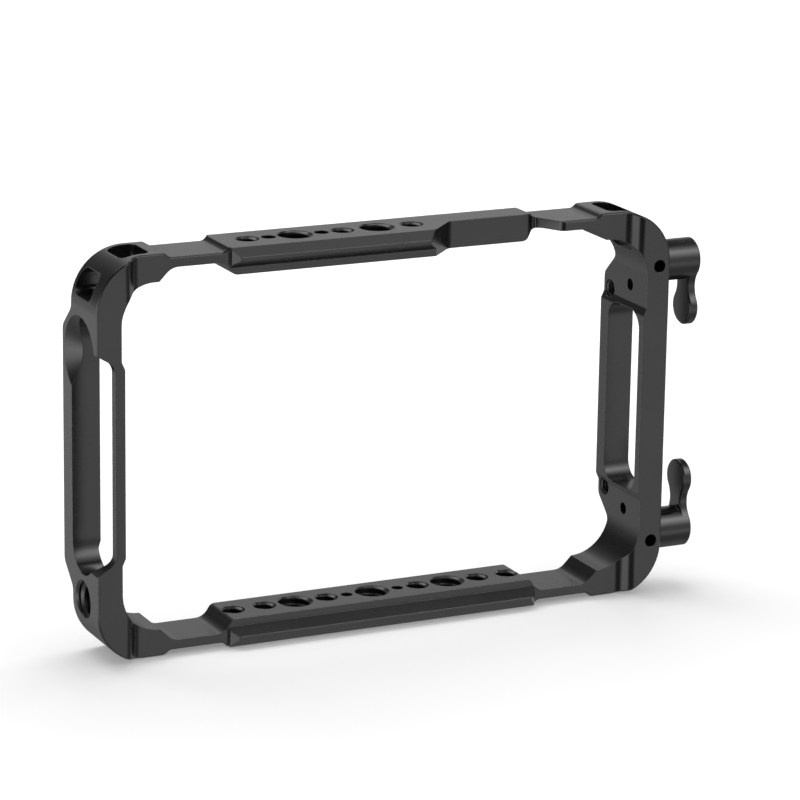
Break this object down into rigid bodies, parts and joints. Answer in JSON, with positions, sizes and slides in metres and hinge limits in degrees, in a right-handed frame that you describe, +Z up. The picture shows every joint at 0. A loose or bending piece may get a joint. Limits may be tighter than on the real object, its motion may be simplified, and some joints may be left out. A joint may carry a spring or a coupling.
{
  "type": "monitor cage",
  "caption": "Machined frame that goes round a small field monitor, with threaded mounting rails, slotted side walls and levers that clamp posts at one side.",
  "frame": {"origin": "mouth of the bottom rail's middle mounting hole, in the plane of the cage's underside", "axes": "+X to the right and +Z up as the front is faced, +Y from the front to the back; the opening runs along Y"},
  "size_m": [0.1768, 0.0239, 0.1073],
  "materials": {
    "black_anodised_frame": "fine matte black anodising over milled aluminium, paler at its broken edges",
    "black_anodised_lever": "satin black anodising, turned barrel and milled arm",
    "blackened_steel": "black oxide on steel, slightly oily",
    "spring_steel": "bright drawn spring wire"
  },
  "bodies": {
    "cage": {"cage_frame": "black_anodised_frame"},
    "upper_stud": {"upper_splined_stud": "blackened_steel", "upper_retaining_screw": "blackened_steel", "upper_lever_spring": "spring_steel"},
    "upper_lever": {"upper_clamp_lever": "black_anodised_lever"},
    "lower_stud": {"lower_splined_stud": "blackened_steel", "lower_retaining_screw": "blackened_steel", "lower_lever_spring": "spring_steel"},
    "lower_lever": {"lower_clamp_lever": "black_anodised_lever"}
  },
  "joints": [
    {"name": "upper_clamp_turn", "type": "hinge", "parent": "cage", "child": "upper_stud", "pos_m": [0.083, -0.0017, 0.09145], "axis": [1, 0, 0], "range_deg": [-180, 180]},
    {"name": "upper_lever_lift", "type": "slide", "parent": "upper_stud", "child": "upper_lever", "axis": [1, 0, 0], "range_m": [0, 0.003], "stiffness_N_per_m": 400, "springref_m": -0.002, "deforming": ["upper_lever_spring"]},
    {"name": "lower_clamp_turn", "type": "hinge", "parent": "cage", "child": "lower_stud", "pos_m": [0.083, -0.0017, 0.0154], "axis": [1, 0, 0], "range_deg": [-180, 180]},
    {"name": "lower_lever_lift", "type": "slide", "parent": "lower_stud", "child": "lower_lever", "axis": [1, 0, 0], "range_m": [0, 0.003], "stiffness_N_per_m": 400, "springref_m": -0.002, "deforming": ["lower_lever_spring"]}
  ]
}
